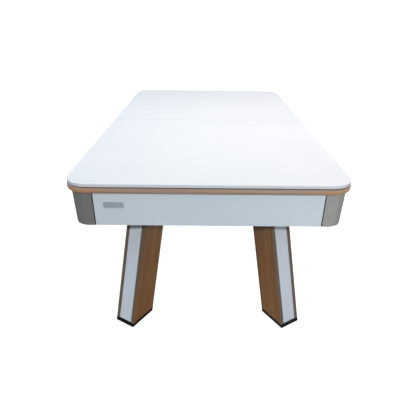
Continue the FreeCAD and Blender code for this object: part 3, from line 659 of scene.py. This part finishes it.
# Rail bolts: hexagon bolts with wide washers come up through the bed and pull the rails down.
# They are zinc-plated, and stand between the beams and clear of the pockets.
RAIL_BOLT_LINE = (0.540, 1.020)
SIDE_BOLTS, END_BOLTS = (-0.62, -0.40, -0.15, 0.15, 0.40, 0.62), (-0.30, 0, 0.30)
bolts = [(side * RAIL_BOLT_LINE[0], y, BED_UNDERSIDE) for side in (-1, 1) for y in SIDE_BOLTS]
bolts += [(x, end * RAIL_BOLT_LINE[1], BED_UNDERSIDE) for end in (-1, 1) for x in END_BOLTS]
WASHER_PROFILE = [(0.005, -0.0016), (0.0115, -0.0016), (0.012, -0.0012), (0.012, 0.0)]
HEAD_PROFILE = [(0.0065, -0.0069), (0.0070, -0.0066), (0.0075, -0.0060), (0.0075, -0.0016)]
washers = new_piece(
    "rail_bolt_washers", *turned(WASHER_PROFILE, sides=32, places=bolts), zinc, "table"
)
heads = new_piece(
    "rail_bolt_heads", *turned(HEAD_PROFILE, sides=6, places=bolts), zinc, "table", sharp=20
)

# Cushions: rubber strips wrapped in the playing cloth, glued to the faces of the rails.
# Each has a rounded nose and its ends are cut back to open the pockets.
CUSHION_FOOT, CUSHION_TOP = (corner.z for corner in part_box("cushion_front"))
CUSHION_DEPTH = RAIL_FACE[0] - NOSE_LINE[0]
NOSE_DROPS = np.array([(0.0390, 0.0006), (0.0438, 0.0008), (0.0444, 0.0055), (0.0396, 0.0080)])
NOSE_BEND = (0, CUSHION_TOP) + NOSE_DROPS * (1, -1)
TOP_HOLLOW = 0.0006
CURVE_POINTS, BACK_POINTS, STRIP_RINGS = 14, 4, 40
CORNER_CUT, SIDE_CUT = 0.042, 0.012
HALF_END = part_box("cushion_front")[1].x
NEAR_SIDE, FAR_SIDE = side_low.y, side_high.y


def cushion_profile():
    """Depth and height round the strip: a slightly hollow top, a nose on a cubic curve, the slope
    under it and the flat back."""
    t = np.linspace(0, 1, CURVE_POINTS)[:, None]
    top = (1 - t) * (0, CUSHION_TOP) + t * NOSE_BEND[0] - (0, TOP_HOLLOW) * np.sin(math.pi * t)
    curve = np.concatenate([(1 - t) ** 3, 3 * t * (1 - t) ** 2, 3 * t**2 * (1 - t), t**3], axis=1)
    under = (1 - t) * NOSE_BEND[3] + t * (0, CUSHION_FOOT)
    back = np.linspace((0, CUSHION_FOOT), (0, CUSHION_TOP), BACK_POINTS)
    return np.concatenate([top[:-1], (curve @ NOSE_BEND)[:-1], under[:-1], back[:-1]])


def cushion_strip(start, along, inward, length, start_cut, end_cut):
    """The profile carried along the rail. Where it is deeper it starts later and ends sooner, by the
    cut times depth over full depth, so both ends are flat slanting faces. Inward lies to the left of
    along or to the right of it, and the faces are turned to point outwards."""
    profile = cushion_profile()
    depth, height = profile[:, 0], profile[:, 1]
    t = np.linspace(0, 1, STRIP_RINGS)[:, None]
    first = start_cut * depth / CUSHION_DEPTH
    last = length - end_cut * depth / CUSHION_DEPTH
    run = first + t * (last - first)
    plan = np.array(start) + run[..., None] * np.array(along) + (depth[:, None] * np.array(inward))[None]
    points = np.concatenate([plan, np.broadcast_to(height[:, None], run.shape + (1,))], axis=2)
    faces = tube_faces(STRIP_RINGS, len(profile))
    if along[0] * inward[1] > along[1] * inward[0]:
        faces = [face[::-1] for face in faces]
    girth = np.concatenate([[0], np.cumsum(np.linalg.norm(np.diff(profile, axis=0), axis=1))])
    place = np.stack([np.broadcast_to(girth, run.shape), run], axis=2).reshape(-1, 2)
    return points.reshape(-1, 3), faces, place


cushion_cloth = new_finish("cushion_cloth", NAPPED_CLOTH, CLOTH_YARN, **CLOTH_RELIEF, **CLOTH_SHEEN)
SIDE_LENGTH = FAR_SIDE - NEAR_SIDE
STRIPS = {
    "front": ((-HALF_END, -RAIL_FACE[1]), (1, 0), (0, 1), 2 * HALF_END, CORNER_CUT, CORNER_CUT),
    "rear": ((HALF_END, RAIL_FACE[1]), (-1, 0), (0, -1), 2 * HALF_END, CORNER_CUT, CORNER_CUT),
    "left_front": ((-RAIL_FACE[0], -NEAR_SIDE), (0, -1), (1, 0), SIDE_LENGTH, SIDE_CUT, CORNER_CUT),
    "left_rear": ((-RAIL_FACE[0], FAR_SIDE), (0, -1), (1, 0), SIDE_LENGTH, CORNER_CUT, SIDE_CUT),
    "right_front": ((RAIL_FACE[0], -FAR_SIDE), (0, 1), (-1, 0), SIDE_LENGTH, CORNER_CUT, SIDE_CUT),
    "right_rear": ((RAIL_FACE[0], NEAR_SIDE), (0, 1), (-1, 0), SIDE_LENGTH, SIDE_CUT, CORNER_CUT),
}
for name, strip in STRIPS.items():
    points, faces, place = cushion_strip(*strip)
    cushion = new_piece(f"cushion_{name}_covered", points, faces, cushion_cloth, "table", sharp=50)
    give_map(cushion, "cloth", place)
    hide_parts(f"cushion_{name}")

# Aprons: white lacquered boards under the rails that lean slightly inwards to their lower edges.
# They are screwed from inside to the bed and butt against the corner covers.
apron_lacquer = new_finish(
    "apron_lacquer", SPRAYED_SKIN,
    {"Place": in_place(), "Paint": (0.803, 0.891, 0.965, 1), "Shade": (0.71, 0.79, 0.88, 1), "Drift": 0.25,
     "Roughness": 0.30},
    bump=0.05, depth=0.0004,
)
dress(apron_lacquer, *(f"apron_{name}" for name in ("front", "rear", "left", "right")))

# Corner covers: leaning shells, sprayed silver, that close the corners between the aprons.
# Fine lines run up and down them, and a groove along both edges, black with painted shade, parts them from
# the boards.
# The groove's black is painted shade, for the shadow down in the recess.
SILVER, GROOVE_SHADE = (0.560, 0.542, 0.512, 1), (0.02, 0.02, 0.02, 1)
GROOVE_WIDTH = 0.0042
cover_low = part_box("corner_cover_rear_right")[0]
GROOVE_END = (cover_low.x + GROOVE_WIDTH, cover_low.y + GROOVE_WIDTH)


def silver_with_groove_shade(tree):
    """Silver, and black painted shade where X or Y is short of the end of the groove."""
    place = put(tree, "ShaderNodeTexCoord").outputs["Object"]
    x, y, _ = put(tree, "ShaderNodeSeparateXYZ", {0: place}).outputs
    past_x = calc(tree, "GREATER_THAN", calc(tree, "ABSOLUTE", x), GROOVE_END[0])
    past_y = calc(tree, "GREATER_THAN", calc(tree, "ABSOLUTE", y), GROOVE_END[1])
    return mixed(tree, calc(tree, "MULTIPLY", past_x, past_y), GROOVE_SHADE, SILVER)


silver_paint = new_finish(
    "silver_paint", WORKED_METAL,
    {"Place": in_place(), "Metal": silver_with_groove_shade, "Streaks": 0.5, "Roughness": 0.30},
    bump=0.08, depth=0.0004, Metallic=0.75,
)
dress(silver_paint, *(f"corner_cover_{leg}" for leg in LEGS))

# Name plate: a small brushed metal plate, left bare, stuck on the front apron near its left end.
# It has a thin raised rim round a sunk field.
PLATE_HALF, PLATE_CORNER, PLATE_POINTS = (0.043, 0.015), 0.0030, 6
PLATE_RINGS = [(0.0, 0.0), (0.0, 0.0008), (0.0005, 0.0012), (0.0016, 0.0012), (0.0020, 0.0009)]
APRON_LEAN = 0.0065
PLATE_X, PLATE_Z = -0.398, 0.679
apron_low, apron_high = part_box("apron_front")
APRON_SLOPE = (APRON_LEAN, apron_high.z - apron_low.z)
PLATE_AT = (PLATE_X, apron_low.y + APRON_LEAN * (apron_high.z - PLATE_Z) / APRON_SLOPE[1], PLATE_Z)


def plate_shape(up, out):
    """Rounded rectangles stacked from the back to the sunk field: each ring is the outline shrunk by an
    inset and lifted by a height; across is X, up and out follow the leaning apron."""
    across = np.array((1.0, 0, 0))
    layers = []
    for inset, height in PLATE_RINGS:
        half_x, half_y = np.array(PLATE_HALF) - inset
        outline = rounded_outline(half_x, half_y, PLATE_CORNER - inset, PLATE_POINTS)
        layers.append(np.array(PLATE_AT) + outline[:, :1] * across + outline[:, 1:] * up + height * out)
    return np.concatenate(layers), tube_faces(len(layers), len(layers[0]))


slope_in, slope_up = np.array(APRON_SLOPE) / np.hypot(*APRON_SLOPE)
plate_up, plate_out = np.array(((0, -slope_in, slope_up), (0, -slope_up, -slope_in)))
plate_metal = new_finish(
    "plate_metal", WORKED_METAL,
    {"Place": in_place(PLATE_AT, (0, math.radians(90), 0)), "Metal": (0.62, 0.68, 0.74, 1), "Streaks": 0.8,
     "Roughness": 0.33},
    bump=0.15, depth=0.0003, Metallic=0.25,
)
plate = new_piece("name_plate", *plate_shape(plate_up, plate_out), plate_metal, "table")

# Top pads: strips of black rubber glued under the halves of the lift-off top.
# They rest on the rails, keep the top from sliding and leave the dark gap under it.
strip_rubber = new_finish(
    "strip_rubber", MOULDED_SKIN,
    {"Place": in_place(), "Body": (0.028, 0.026, 0.025, 1), "Dust": 0.2, "Roughness": 0.65},
    bump=0.4, depth=0.0005,
)
dress(strip_rubber, "top_front_pads", "top_rear_pads")

# Lift-off top: two halves of white lacquered board with softened edges, laid on the rails.
# A narrow seam runs across the middle, greyed either side by painted shade, and the lacquer is a satin with
# a faint peel.
TOP_WHITE, SEAM_PAINTED_SHADE = (0.862, 0.860, 0.900, 1), (0.60, 0.60, 0.63, 1)
SEAM_SHADE_REACH, SEAM_SHADE_SHARE = (0.007, 0.001), 0.75


# Painted shade: a grey band along the seam stands in for the shadow down in its gap.
def seam_painted_shade(tree):
    """White, greyed by painted shade within a few millimetres of the seam."""
    place = put(tree, "ShaderNodeTexCoord").outputs["Object"]
    y = put(tree, "ShaderNodeSeparateXYZ", {0: place}).outputs[1]
    near = eased(tree, calc(tree, "ABSOLUTE", y), *SEAM_SHADE_REACH)
    return mixed(tree, calc(tree, "MULTIPLY", near, SEAM_SHADE_SHARE), TOP_WHITE, SEAM_PAINTED_SHADE)


top_lacquer = new_finish(
    "top_lacquer", SPRAYED_SKIN,
    {"Place": in_place(), "Paint": seam_painted_shade, "Shade": (0.79, 0.81, 0.86, 1), "Drift": 0.3,
     "Roughness": 0.32},
    bump=0.04, depth=0.0004,
)
dress(top_lacquer, "top_front_panel", "top_rear_panel")

# Floor: a plain pale studio floor that runs out of sight, lit up to white for the camera.
# For every other ray it is grey, darker at the left and paler in front at the right, and so it sets
# the gloss of the two near corners.
FLOOR_REACH = 60
FLOOR_GREY = (0.45, 0.45, 0.45, 1)
FLOOR_DARK = (0.145, 0.145, 0.145, 1)
FLOOR_PALE = (0.78, 0.78, 0.78, 1)
PALE_X, PALE_Y, DARK_X = (0.15, 0.70), (-1.2, -1.7), (-0.10, -0.60)


def floor_tone(tree):
    """Grey, gone over to dark past a soft line in X and to pale past soft lines in X and Y."""
    place = put(tree, "ShaderNodeTexCoord").outputs["Object"]
    x, y, _ = put(tree, "ShaderNodeSeparateXYZ", {0: place}).outputs
    pale = calc(tree, "MULTIPLY", eased(tree, x, *PALE_X), eased(tree, y, *PALE_Y))
    tone = mixed(tree, pale, FLOOR_GREY, FLOOR_PALE)
    return mixed(tree, eased(tree, x, *DARK_X), tone, FLOOR_DARK)


floor_paint = new_finish(
    "floor_paint", SPRAYED_SKIN,
    {"Place": in_place(), "Paint": floor_tone, "Shade": FLOOR_GREY, "Drift": 0.1, "Roughness": 0.8},
    bump=0.02, depth=0.0005, Specular_IOR_Level=0.1, Emission_Color=(1, 1, 1, 1),
)
floor_tree = floor_paint.node_tree
seen = put(floor_tree, "ShaderNodeLightPath").outputs["Is Camera Ray"]
feed(floor_tree, floor_tree.nodes["Principled BSDF"].inputs["Emission Strength"], seen)
corners = [(x * FLOOR_REACH, y * FLOOR_REACH, 0) for x, y in ((-1, -1), (1, -1), (1, 1), (-1, 1))]
floor_mesh = bpy.data.meshes.new("floor")
floor_mesh.from_pydata(corners, [], [(0, 1, 2, 3)])
floor_mesh.materials.append(floor_paint)
floor = bpy.data.objects.new("floor", floor_mesh)
bpy.context.scene.collection.objects.link(floor)

# Light: a low sun from the front that draws a thin shadow under the aprons, soft studio panels over the
# table, beside it and past its rear corners, and a sky whose sides and top have their own tones.
# The camera sees the sky as white.
SUN_STRENGTH, SUN_WIDTH = 1.275, 3
SUN_TILT, SUN_TURN = 56.8, -8
SKY_SEEN = (1.1, 1.1, 1.1, 1)
PANELS = {
    "panel_over": ((0.3, -0.2, 2.6), (0.25, -0.2, 0.78), 1.2, 14.6, (1.0, 0.947, 0.68)),
    "panel_left": ((-1.9, 0.0, 2.0), (-0.2, 0.0, 0.7), 1.4, 6.0, (0.12, 0.36, 1.0)),
    "panel_right": ((1.9, 0.0, 2.0), (0.2, 0.0, 0.7), 1.4, 5.0, (1.0, 0.45, 0.65)),
    "panel_left_rear": ((-2.6, 1.6, 1.0), (-0.6, 0.3, 0.65), 1.6, 9.0, (1.0, 0.98, 0.92)),
    "panel_right_rear": ((2.6, 1.6, 1.0), (0.6, 0.3, 0.65), 1.6, 14.0, (1.0, 0.98, 0.92)),
}
for name, (place, aim, width, watts, tint) in PANELS.items():
    lamp = bpy.data.objects.new(name, bpy.data.lights.new(name, "AREA"))
    lamp.data.size = width
    lamp.data.energy = watts
    lamp.data.color = tint
    lamp.location = place
    lamp.rotation_euler = (Vector(aim) - Vector(place)).to_track_quat("-Z", "Y").to_euler()
    bpy.context.scene.collection.objects.link(lamp)
sun = bpy.data.objects.new("sun", bpy.data.lights.new("sun", "SUN"))
sun.data.energy = SUN_STRENGTH
sun.data.angle = math.radians(SUN_WIDTH)
sun.rotation_euler = (math.radians(SUN_TILT), 0, math.radians(SUN_TURN))
bpy.context.scene.collection.objects.link(sun)
SKY_SIDES = (
    (0, -1, (0.240, 0.240, 0.240)), (0, 1, (0.280, 0.280, 0.280)),
    (1, 1, (0.600, 0.600, 0.600)), (2, 1, (0.698, 0.825, 0.903)),
)
sky = bpy.data.worlds.new("sky")
sky.use_nodes = True
air = sky.node_tree
direction = put(air, "ShaderNodeTexCoord").outputs["Generated"]
facing = put(air, "ShaderNodeSeparateXYZ", {0: direction}).outputs
tone = (0, 0, 0)
for axis, sign, tint in SKY_SIDES:
    share = calc(air, "MAXIMUM", calc(air, "MULTIPLY", facing[axis], sign), 0.0)
    squared = calc(air, "MULTIPLY", share, share)
    lit = put(air, "ShaderNodeVectorMath", {0: tint, "Scale": squared}, operation="SCALE")
    tone = put(air, "ShaderNodeVectorMath", {0: lit.outputs[0], 1: tone}, operation="ADD").outputs[0]
seen = put(air, "ShaderNodeLightPath").outputs["Is Camera Ray"]
feed(air, air.nodes["Background"].inputs["Color"], mixed(air, seen, tone, SKY_SEEN))
bpy.context.scene.world = sky
bpy.context.scene.view_settings.view_transform = "Standard"

# Camera: in front of the table and above it, at the photograph's angle.
# Its place, turn and lens were fitted to the outlines of the table there.
EYE = (-0.01943, -2.57262, 1.40726)
PITCH, YAW, ROLL = np.radians((25.980, 0.485, -0.706))
SENSOR_MM, LENS_MM, FAR_END = 36, 34.876, 200
forward = np.array((math.sin(YAW) * math.cos(PITCH), math.cos(YAW) * math.cos(PITCH), -math.sin(PITCH)))
level = np.array((math.cos(YAW), -math.sin(YAW), 0))
down = np.cross(forward, level)
right = math.cos(ROLL) * level + math.sin(ROLL) * down
up = math.sin(ROLL) * level - math.cos(ROLL) * down
camera = bpy.data.objects.new("camera", bpy.data.cameras.new("camera"))
camera.data.sensor_width = SENSOR_MM
camera.data.lens = LENS_MM
camera.data.clip_end = FAR_END
camera.matrix_world = Matrix(np.column_stack([right, up, -forward]).tolist()).to_4x4()
camera.location = EYE
bpy.context.scene.collection.objects.link(camera)
bpy.context.scene.camera = camera
